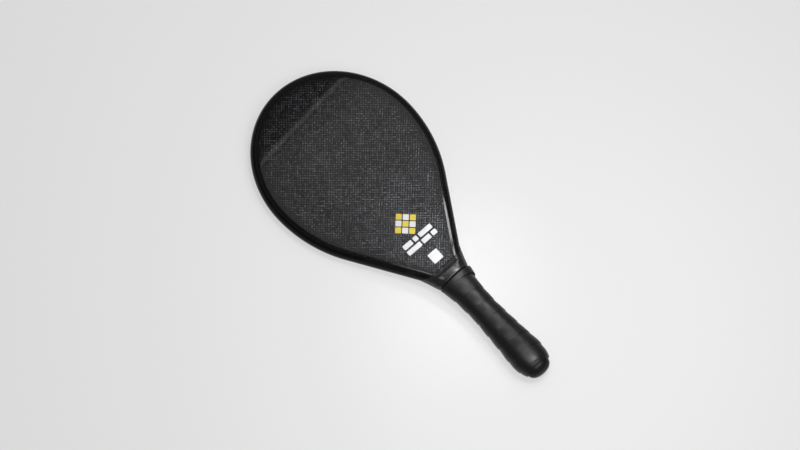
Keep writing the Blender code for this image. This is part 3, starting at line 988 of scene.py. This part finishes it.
@dataclass
class Grip:
    """The cushion sleeve and the tape wound over it.

    Where the tape bunches and where its first lap climbs is told in turns from its first end.
    """

    shape: HandleShape
    cushion_gap: float = 0.3 * MM
    cushion: float = 1.3 * MM
    cushion_start: float = 307.2 * MM
    cushion_end: float = 445.7 * MM
    swell: float = 0.06 * MM
    cushion_rings: int = 90
    cushion_points: int = 72
    tape_width: float = 25.0 * MM
    tape: float = 0.62 * MM
    pitch: float = 19.0 * MM
    first_edge: float = 470.0 * MM
    top: float = 307.0 * MM
    bottom: float = 449.5 * MM
    turns: float = 8.5
    per_turn: int = 144
    edge_points: int = 5
    width_points: int = 22
    contact: float = 0.04 * MM
    lap_reach: float = 0.99
    climb_start: float = 0.85
    climb_length: float = 0.15
    bunch: float = 1.7 * MM
    bunch_span: tuple[float, float] = (7.6, 8.4)
    bunch_slope: float = 0.35
    edge_waver: float = 0.35 * MM
    unevenness: float = 0.07 * MM
    trim_step: float = 0.07 * MM
    mean_radius: float = 17.0 * MM

    def cushion_mesh(self) -> bpy.types.Mesh:
        """The sleeve: its outer side swells softly between the tape's turns, its inner side is plain.

        Returns:
            The mesh.
        """
        u = np.linspace(self.cushion_start, self.cushion_end, self.cushion_rings)
        angle = np.linspace(0, 2 * math.pi, self.cushion_points, endpoint=False)
        turn_grid, u_grid = np.meshgrid(angle, u)
        swell = self.swell * np.cos(2 * math.pi * u_grid / self.pitch + turn_grid)
        outer = self.shape.points(turn_grid, u_grid, self.cushion_gap + self.cushion + swell - self.swell)
        inner = self.shape.points(turn_grid, u_grid, np.full_like(u_grid, self.cushion_gap))
        return body_mesh("cushion_sleeve", np.concatenate([outer, inner[::-1]]), loop=True)

    def tape_section(self) -> tuple[Array, Array]:
        """The tape's section as points round it.

        Both edges are half circles: height = 1/2 plus or minus the root of r squared minus (r - d)
        squared, at a distance d from the edge and with r half the thickness.

        Returns:
            The points' shares of the width, and their heights in thicknesses, 0 to 1.
        """
        radius = self.tape / 2
        rounding = radius * (1 - np.cos(np.linspace(0, math.pi / 2, self.edge_points)))
        level = np.linspace(radius, self.tape_width - radius, self.width_points)[1:-1]
        d = np.concatenate([rounding, level, self.tape_width - rounding[::-1]])
        depth = np.minimum(np.minimum(d, self.tape_width - d), radius)
        bulge = np.sqrt(np.maximum(radius**2 - (radius - depth) ** 2, 0.0)) / self.tape
        share = d / self.tape_width
        return np.concatenate([share, share[-2:0:-1]]), np.concatenate([0.5 + bulge, 0.5 - bulge[-2:0:-1]])

    def tape_mesh(self) -> bpy.types.Mesh:
        """The tape as one unbroken strip.

        In each turn both edges move one pitch towards the throat. The first turn lies flat on the
        cushion. Each later turn rises by one thickness where it meets the edge of the turn before
        it, so that its own lower edge makes a small step. Both ends are trimmed square to the
        handle, and slow sines make the edges and the surface a little uneven.

        Returns:
            The mesh.
        """
        stations = round(self.turns * self.per_turn) + 1
        turn = (np.arange(stations) / self.per_turn)[:, None]
        angle = 2 * math.pi * turn
        share, height = self.tape_section()
        waver = self.edge_waver * ripple(1.7 * angle, 2.9 * angle + 1.0, 0.77 * angle + 2.0)
        high_edge = self.first_edge - self.tape_width - self.pitch * turn + waver
        rank = np.argsort(np.argsort(share, kind="stable"), kind="stable")[None, :]
        u = high_edge + self.tape_width * share[None, :]
        u = np.maximum(u, self.top + rank * self.trim_step)
        u = np.minimum(u, self.bottom - (rank.max() - rank) * self.trim_step)
        lap_start = 1 - self.pitch / self.tape_width
        place_across = (u - high_edge) / self.tape_width
        rise = ease((place_across - lap_start) / (self.lap_reach - 2 * lap_start))
        climb = ease((turn - self.climb_start) / self.climb_length)
        lift = climb * rise * (self.tape + self.contact)
        (gather, release), slope = self.bunch_span, self.bunch_slope
        bunch = self.bunch * ease((turn - gather) / slope) * ease((release - turn) / slope)
        phases = (3.1 * angle + 900 * u, 5.3 * angle + 2, 1.3 * angle + 600 * u)
        uneven = self.unevenness * ripple(*phases)
        seat = self.cushion_gap + self.cushion + self.contact
        total = seat + lift + bunch * rise + uneven * place_across + height[None, :] * self.tape
        reach = np.broadcast_to(angle, u.shape)
        rings = self.shape.points(reach, u, total)
        across = np.broadcast_to(share[None, :] * self.tape_width, u.shape)
        return body_mesh("wound_tape", rings, values={"along": reach * self.mean_radius, "across": across})

    def build(self) -> None:
        """Makes the cushion and the tape and dresses them."""
        foam = Foam("cushion_foam", (0.035, 0.035, 0.036), (0.012, 0.012, 0.012), 0.6 * MM)
        sleeve = place(self.cushion_mesh(), foam.build(), ["base_grip"])
        place(self.tape_mesh(), GripTape().build(), ["overgrip"])


@dataclass
class ButtCap:
    """The cap: a plug in the handle, a flange over its end and a dome.

    The groove's angles, up the dome from its foot, are in degrees.
    """

    shape: HandleShape
    plug_start: float = 436.5 * MM
    plug_half_width: float = 10.4 * MM
    plug_half_thickness: float = 5.5 * MM
    flange_start: float = 446.0 * MM
    flange_end: float = 449.9 * MM
    flange_lift: float = 1.6 * MM
    flange_rings: int = 8
    dome_inset: float = 1.1 * MM
    dome_power: float = 0.88
    dome_rings: int = 40
    groove: float = 0.1 * MM
    groove_at: float = 9.0
    groove_spread: float = 3.5
    around: int = 96

    def build(self) -> None:
        """Makes the cap from ovals along the handle.

        The dome's ovals shrink by a power of cos a while u grows by h sin a. A shallow groove runs
        round its foot: depth times e ^ -((a - groove_at) / groove_spread) squared.
        """
        length = self.shape.outline.length
        a = np.linspace(0, math.pi / 2, self.dome_rings)
        foot = np.array([self.flange_end])
        foot_w = self.shape.half_width.at(foot)[0] + self.flange_lift - self.dome_inset
        foot_t = self.shape.half_thickness.at(foot)[0] + self.flange_lift - self.dome_inset
        groove = self.groove * np.exp(-(((np.degrees(a) - self.groove_at) / self.groove_spread) ** 2))
        shrink = np.cos(a) ** self.dome_power
        side_u = np.linspace(self.flange_start, self.flange_end, self.flange_rings)
        side_w = self.shape.half_width.at(side_u) + self.flange_lift
        side_t = self.shape.half_thickness.at(side_u) + self.flange_lift
        plug_u = np.array([self.plug_start, self.plug_start, self.flange_start])
        plug = np.array([0.0, 1.0, 1.0])
        u = np.concatenate([plug_u, side_u, self.flange_end + (length - self.flange_end) * np.sin(a)])
        w = np.concatenate([plug * self.plug_half_width, side_w, foot_w * shrink - groove])
        t = np.concatenate([plug * self.plug_half_thickness, side_t, foot_t * shrink - groove])
        w[-1] = t[-1] = 0.0
        angle = np.linspace(0, 2 * math.pi, self.around, endpoint=False)[None, :]
        x, z = oval(angle, w[:, None], t[:, None])
        y = np.broadcast_to(self.shape.outline.y_of(u)[:, None], x.shape)
        rings = np.stack([x, y, z + self.shape.middle], axis=-1)
        finish = GlossBlack("cap_rubber", colour=(0.0045, 0.0045, 0.005), rubbed=(0.009, 0.009, 0.0095),
                            roughness=0.36, specular=0.15, grain=0.35 * MM, grain_depth=0.02 * MM)
        place(body_mesh("butt_end", rings), finish.build(), ["butt_cap"])


class Ink(Enum):
    """The two inks of the print."""

    YELLOW = (0.52, 0.40, 0.004)
    WHITE = (0.52, 0.52, 0.53)


@dataclass
class FacePrint:
    """A generic print on the front face: a lattice of small tiles, two rows of bars and a plain patch."""

    outline: Outline
    face: float
    film: float = 0.03 * MM
    tiles_u: float = 221.0 * MM
    tiles_x: float = 0.4 * MM
    tile: float = 7.0 * MM
    tile_gap: float = 1.2 * MM
    tile_corner: float = 0.8 * MM
    bars_u: float = 246.2 * MM
    bar_height: float = 6.0 * MM
    bar_rows: tuple[tuple[float, ...], ...] = ((13.0, 6.0, 19.0), (20.0, 12.0, 7.0))
    bar_gap: float = 2.4 * MM
    bar_corner: float = 1.0 * MM
    corner_points: int = 6
    patch_u: float = 273.2 * MM
    patch_x: float = 0.0
    patch_size: float = 13.5 * MM
    patch_corner: float = 1.2 * MM

    def film_mesh(self, name: str, shapes: Sequence[Array]) -> bpy.types.Mesh:
        """Thin raised films, each a closed body of its own.

        Args:
            name: the mesh's name.
            shapes: flat outlines of (points, 2).

        Returns:
            The mesh.
        """
        bm = bmesh.new()
        for shape in shapes:
            low = [bm.verts.new((x, y, self.face - self.film)) for x, y in shape]
            high = [bm.verts.new((x, y, self.face + self.film)) for x, y in shape]
            bm.faces.new(low[::-1])
            bm.faces.new(high)
            for i, start in enumerate(low):
                bm.faces.new((low[i - 1], start, high[i], high[i - 1]))
        bmesh.ops.recalc_face_normals(bm, faces=bm.faces)
        mesh = bpy.data.meshes.new(name)
        bm.to_mesh(mesh)
        bm.free()
        return mesh

    def rounded(self, x: float, y: float, width: float, height: float, radius: float,
                turn: float = 0.0) -> Array:
        """Outline of a rectangle with round corners, turned about its middle at (x, y).

        Args:
            x: the middle's x.
            y: the middle's y.
            width: its size along X before it is turned.
            height: its size along Y.
            radius: that of its corners.
            turn: its turn in radians.

        Returns:
            (points, 2).
        """
        a = np.linspace(0, math.pi / 2, self.corner_points)
        corners = [(1, 1, 0.0), (-1, 1, 0.5), (-1, -1, 1.0), (1, -1, 1.5)]
        points = np.concatenate([
            np.stack([sx * (width / 2 - radius) + radius * np.cos(a + q * math.pi),
                      sy * (height / 2 - radius) + radius * np.sin(a + q * math.pi)], axis=1)
            for sx, sy, q in corners
        ])
        c, s = math.cos(turn), math.sin(turn)
        return points @ np.array([[c, s], [-s, c]]) + np.array([x, y])

    def tiles(self) -> tuple[list[Array], list[Array]]:
        """A three by three lattice of tiles, turned by 45 degrees: yellow and white by turns.

        Returns:
            The outlines of the yellow and of the white tiles.
        """
        yellow: list[Array] = []
        white: list[Array] = []
        step = (self.tile + self.tile_gap) * math.sqrt(0.5)
        centre_y = self.outline.y_of(self.tiles_u)
        for i in (-1, 0, 1):
            for j in (-1, 0, 1):
                x, y = self.tiles_x + (i - j) * step, centre_y + (i + j) * step
                shape = self.rounded(x, y, self.tile, self.tile, self.tile_corner, math.pi / 4)
                (yellow if (i + j) % 2 == 0 else white).append(shape)
        return yellow, white

    def bars(self) -> list[Array]:
        """Two rows of plain bars of unlike lengths, centred on the paddle's axis.

        Returns:
            Their outlines.
        """
        shapes = []
        for row, lengths in enumerate(self.bar_rows):
            y = self.outline.y_of(self.bars_u) + (0.5 - row) * (self.bar_height + self.bar_gap)
            x = -(sum(lengths) * MM + self.bar_gap * (len(lengths) - 1)) / 2
            for length in lengths:
                width = length * MM
                shapes.append(self.rounded(x + width / 2, y, width, self.bar_height, self.bar_corner))
                x += width + self.bar_gap
        return shapes

    def build(self) -> None:
        """Prints the tiles, the bars and the patch."""
        inks = {ink: PrintInk(f"print_{ink.name.lower()}", ink.value).build() for ink in Ink}
        yellow, white = self.tiles()
        patch_y = self.outline.y_of(self.patch_u)
        patch = self.rounded(self.patch_x, patch_y, self.patch_size, self.patch_size, self.patch_corner)
        place(self.film_mesh("print_tiles_yellow", yellow), inks[Ink.YELLOW])
        place(self.film_mesh("print_tiles_white", white), inks[Ink.WHITE])
        place(self.film_mesh("print_bars", self.bars()), inks[Ink.WHITE])
        place(self.film_mesh("print_patch", [patch]), inks[Ink.WHITE])


@dataclass
class InnerPieces:
    """The pieces inside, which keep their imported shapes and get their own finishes."""

    def build(self) -> None:
        """Dresses the cores, the fill, the spine and the shells."""
        core = Foam("core_foam", (0.66, 0.66, 0.63), (0.48, 0.48, 0.46), 1.1 * MM)
        fill = Foam("edge_foam", (0.74, 0.66, 0.44), (0.52, 0.44, 0.26), 0.8 * MM)
        moulded = Foam("shell_foam", (0.17, 0.17, 0.18), (0.10, 0.10, 0.11), 0.5 * MM).build()
        for node, finish in (
            ("head_core", core.build()),
            ("frame_foam", fill.build()),
            ("handle_spine", SpineTimber().build()),
            ("handle_shell_front", moulded),
            ("handle_shell_rear", moulded),
        ):
            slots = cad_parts[node].data.materials
            slots.clear()
            slots.append(finish)
            log.info("%s: packed shape, in %s", node, finish.name)


@dataclass(frozen=True)
class Panel:
    """A level panel overhead, placed by its reflection in the face as the photograph shows it.

    Its rise is the height above the face, its middle is (x, y) of the middle of its reflection on the
    face, its size is in metres and its turn about Z in degrees.
    """

    name: str
    rise: float
    middle: tuple[float, float]
    size: tuple[float, float]
    radiance: float
    turn: float = 0.0


@dataclass(frozen=True)
class Lamp:
    """A lamp that shines on a point of the paddle from a distance away.

    The aim's height counts from the paddle's middle plane. The side is the direction of the lamp's
    first side, as near as it may be, and the size is in metres. Its spread is the angle in degrees to
    which a grid before it narrows its light.
    """

    name: str
    aim: tuple[float, float, float]
    direction: tuple[float, float, float]
    distance: float
    size: tuple[float, float]
    radiance: float
    side: tuple[float, float, float] = (1.0, 0.0, 0.0)
    spread: float = 180.0


@dataclass
class Studio:
    """Floor, lamps and surroundings.

    A radiance is how bright a lamp's surface is as seen from straight before it; 1 is paper white.
    """

    middle: float
    mirror: Vector
    between_y: float = 40.0 * MM
    floor_size: float = 14.0
    floor_tone: float = 0.22
    floor_glow: float = 0.58
    paper: float = 0.83
    wall: float = 0.2
    ceiling: float = 0.1
    steepest_rest: float = 0.08
    rest_steps: int = 401
    panels: tuple[Panel, ...] = (
        Panel("head_panel", 0.4, (0.034, 0.031), (0.34, 0.30), 0.48, turn=5.3),
        Panel("edge_bar", 0.4, (0.0199, 0.1855), (0.34, 0.0055), 0.95, turn=5.3),
        Panel("window", 1.5, (0.1275, 0.064), (0.345, 0.228), 0.2, turn=5.3),
        Panel("handle_panel", 0.5, (-0.055, -0.34), (0.39, 0.40), 4.7),
    )
    lamps: tuple[Lamp, ...] = (
        Lamp("top_lamp", (0.0, 0.0, 0.0), (0.19, -0.10, 0.98), 3.0, (0.3, 0.3), 90.0),
        Lamp("key_lamp", (0.035, -0.027, 0.010), (0.45, 0.06, 0.89), 1.2, (0.05, 0.6), 11.0,
             side=(0.53, 0.85, 0.0)),
        Lamp("collar_lamp", (0.006, -0.070, 0.012), (0.445, 0.434, 0.783), 0.5, (0.14, 0.1), 70.0,
             spread=24.0),
        Lamp("tip_lamp", (0.006, -0.070, 0.012), (0.19, 0.47, 0.86), 3.0, (0.25, 0.15), 6.0, spread=8.0),
    )

    def resting_slope(self) -> tuple[float, float]:
        """The plane that the paddle lies on: it touches the bulb of the grip and the head.

        Of all the lines z = slope y + height that pass under every point, the one that is highest at
        y = between_y, which lies between the bulb and the head's tip, touches on both sides of it.

        Returns:
            The slope and the height at y = 0.
        """
        graph = bpy.context.evaluated_depsgraph_get()
        clouds = []
        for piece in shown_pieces():
            mesh = piece.evaluated_get(graph).data
            points = np.empty(len(mesh.vertices) * 3, np.float32)
            mesh.vertices.foreach_get("co", points)
            clouds.append(points.reshape(-1, 3)[:, 1:])
        y, z = np.concatenate(clouds).T
        slopes = np.linspace(0, self.steepest_rest, self.rest_steps)
        heights = np.array([(z - slope * y).min() for slope in slopes])
        best = int(np.argmax(heights + slopes * self.between_y))
        return float(slopes[best]), float(heights[best])

    def floor(self) -> None:
        """A wide pale floor under the paddle.

        To the camera and in reflections it is lifted to the tone of the paper, and it keeps its
        shadows.
        """
        slope, height = self.resting_slope()
        log.info("floor: slope %.4f, height %.2f mm", slope, height / MM)
        reach = self.floor_size / 2
        around = ((-reach, -reach), (reach, -reach), (reach, reach), (-reach, reach))
        corners = [(x, y, slope * y + height) for x, y in around]
        mesh = bpy.data.meshes.new("floor")
        mesh.from_pydata(corners, [], [(0, 1, 2, 3)])
        g = Graph("floor_paper", roughness=0.9, specular=0.0)
        g.set("Base Color", (self.floor_tone, self.floor_tone, self.floor_tone, 1.0))
        ray = g.add("LightPath", {}).node.outputs
        seen = g.math("MAXIMUM", ray["Is Camera Ray"], ray["Is Glossy Ray"])
        seen = g.math("MAXIMUM", seen, ray["Is Transmission Ray"])
        g.set("Emission Color", (1.0, 1.0, 1.0, 1.0))
        g.set("Emission Strength", g.times(seen, self.floor_glow))
        mesh.materials.append(g.material)
        plane = bpy.data.objects.new("floor", mesh)
        bpy.context.scene.collection.objects.link(plane)
        plane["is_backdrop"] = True

    def surroundings(self) -> None:
        """A pale backdrop along the horizon, and above it walls and a ceiling that are dim.

        Each tone holds at a height, which is the sine of the angle above the horizon.
        """
        world = bpy.data.worlds.new("studio")
        bpy.context.scene.world = world
        world.use_nodes = True
        tree = world.node_tree
        direction = tree.nodes.new("ShaderNodeTexCoord")
        parts = tree.nodes.new("ShaderNodeSeparateXYZ")
        ramp = tree.nodes.new("ShaderNodeValToRGB")
        tones = ((0.04, self.paper), (0.09, self.wall), (0.70, self.wall), (0.92, self.ceiling))
        band = ramp.color_ramp.elements
        while len(band) < len(tones):
            band.new(1.0)
        for stop, (height, tone) in zip(band, tones):
            stop.position, stop.color = height, (tone, tone, tone, 1.0)
        tree.links.new(direction.outputs["Generated"], parts.inputs[0])
        tree.links.new(parts.outputs["Z"], ramp.inputs[0])
        tree.links.new(ramp.outputs[0], tree.nodes["Background"].inputs["Color"])

    def softbox(self, name: str, at: Vector, facing: Vector, side: Vector, size: tuple[float, float],
                radiance: float, spread: float = 180.0) -> None:
        """A rectangular softbox.

        Args:
            name: its name.
            at: its middle.
            facing: the direction in which it shines.
            side: the direction of its first side, as near as it may be.
            size: its sides in metres.
            radiance: how bright its surface is as seen from straight before it; 1 is paper white.
            spread: the angle in degrees to which a grid before it narrows its light. The lamp's
                power counts with tan a / (tan a - a) for half of that angle, so it is divided by it.
        """
        light = bpy.data.lights.new(name, "AREA")
        light.spread = math.radians(spread)
        light.shape = "RECTANGLE"
        light.size, light.size_y = size
        light.energy = radiance * math.pi * size[0] * size[1]
        if spread < 180.0:
            half = light.spread / 2
            light.energy *= (math.tan(half) - half) / math.tan(half)
        back = -facing.normalized()
        across = (side - back * side.dot(back)).normalized()
        held = bpy.data.objects.new(name, light)
        held.location = at
        held.rotation_mode = "QUATERNION"
        held.rotation_quaternion = Matrix((across, back.cross(across), back)).transposed().to_quaternion()
        held.visible_camera = False
        bpy.context.scene.collection.objects.link(held)

    def hang(self, panel: Panel) -> None:
        """Hangs a panel where the camera sees it reflected in the face.

        Args:
            panel: the panel.
        """
        at = Vector((*panel.middle, self.middle)) + self.mirror * (panel.rise / self.mirror.z)
        turn = math.radians(panel.turn)
        side = Vector((math.cos(turn), math.sin(turn), 0.0))
        self.softbox(panel.name, at, Vector((0.0, 0.0, -1.0)), side, panel.size, panel.radiance)

    def aim(self, lamp: Lamp) -> None:
        """Sets up a lamp.

        Args:
            lamp: the lamp.
        """
        x, y, z = lamp.aim
        direction = Vector(lamp.direction)
        at = Vector((x, y, self.middle + z)) + direction * lamp.distance
        self.softbox(lamp.name, at, -direction, Vector(lamp.side), lamp.size, lamp.radiance, lamp.spread)

    def build(self) -> None:
        """Sets up the floor, the surroundings and the lamps.

        The head panel covers the face up to a soft line near the tip, along which the edge bar is
        brighter. The fainter window lightens the right of the face, and the handle panel shows on
        the handle. The top lamp lights everything from above, the key lamp is a long narrow one beside
        the throat, the collar lamp makes the highlight on the collar, and the tip lamp stands beyond
        the tip.
        """
        self.floor()
        self.surroundings()
        for panel in self.panels:
            self.hang(panel)
        for lamp in self.lamps:
            self.aim(lamp)


@dataclass
class PhotoCamera:
    """A camera that sees the paddle as the photograph does.

    The photograph shows the point on the paddle's axis at anchor_u at the pixel anchor_px. One pixel
    is pixel_size wide there, and the frame is frame_px wide and high.
    """

    outline: Outline
    middle: float
    azimuth: float = -42.19
    elevation: float = 73.4
    distance: float = 24.0
    frame_px: tuple[float, float] = (800.0, 450.0)
    anchor_px: tuple[float, float] = (373.46, 192.91)
    anchor_u: float = 166.0 * MM
    pixel_size: float = 1.1616 * MM
    sensor: float = 36.0

    @property
    def back(self) -> Vector:
        """The direction from the paddle to the camera."""
        a, e = math.radians(self.azimuth), math.radians(self.elevation)
        return Vector((math.sin(a) * math.cos(e), -math.cos(a) * math.cos(e), math.sin(e)))

    @property
    def mirror(self) -> Vector:
        """The direction that the camera sees reflected in the face."""
        return Vector((-self.back.x, -self.back.y, self.back.z))

    def build(self) -> None:
        """Aims the camera, which is level: its sideways direction has no slope."""
        back = self.back
        right = Vector((-back.y, back.x, 0.0)).normalized()
        up = back.cross(right)
        anchor = Vector((0.0, self.outline.y_of(self.anchor_u), self.middle))
        shift_right = (self.anchor_px[0] - self.frame_px[0] / 2) * self.pixel_size
        shift_up = (self.frame_px[1] / 2 - self.anchor_px[1]) * self.pixel_size
        target = anchor - right * shift_right - up * shift_up
        data = bpy.data.cameras.new("photo_camera")
        data.sensor_width = self.sensor
        data.lens = self.sensor * self.distance / (self.frame_px[0] * self.pixel_size)
        camera = bpy.data.objects.new("photo_camera", data)
        camera.location = target + back * self.distance
        camera.rotation_mode = "QUATERNION"
        camera.rotation_quaternion = (-back).to_track_quat("-Z", "Y")
        bpy.context.scene.collection.objects.link(camera)
        bpy.context.scene.camera = camera
        log.info("camera: lens %.1f mm at %.1f m", data.lens, self.distance)


def main() -> None:
    """Builds the paddle's pieces, the studio and the camera, and notes the sizes."""
    logging.basicConfig(level=logging.INFO, format="%(name)s: %(message)s")
    bpy.context.scene.view_settings.view_transform = "Standard"
    cad_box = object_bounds()
    low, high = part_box("frame_tube")
    middle = (low.z + high.z) / 2
    outline = Outline(length=cad_box[1].y - cad_box[0].y, half_width=high.x)
    shape = HandleShape(outline, middle)
    face = middle + Tube().half_thickness.at(np.zeros(1))[0]

    Head(outline, middle).build()
    Collar(outline, middle).build()
    Grip(shape).build()
    ButtCap(shape).build()
    FacePrint(outline, face).build()
    InnerPieces().build()
    camera = PhotoCamera(outline, middle)
    Studio(middle, camera.mirror).build()
    camera.build()


if __name__ == "__main__":
    main()
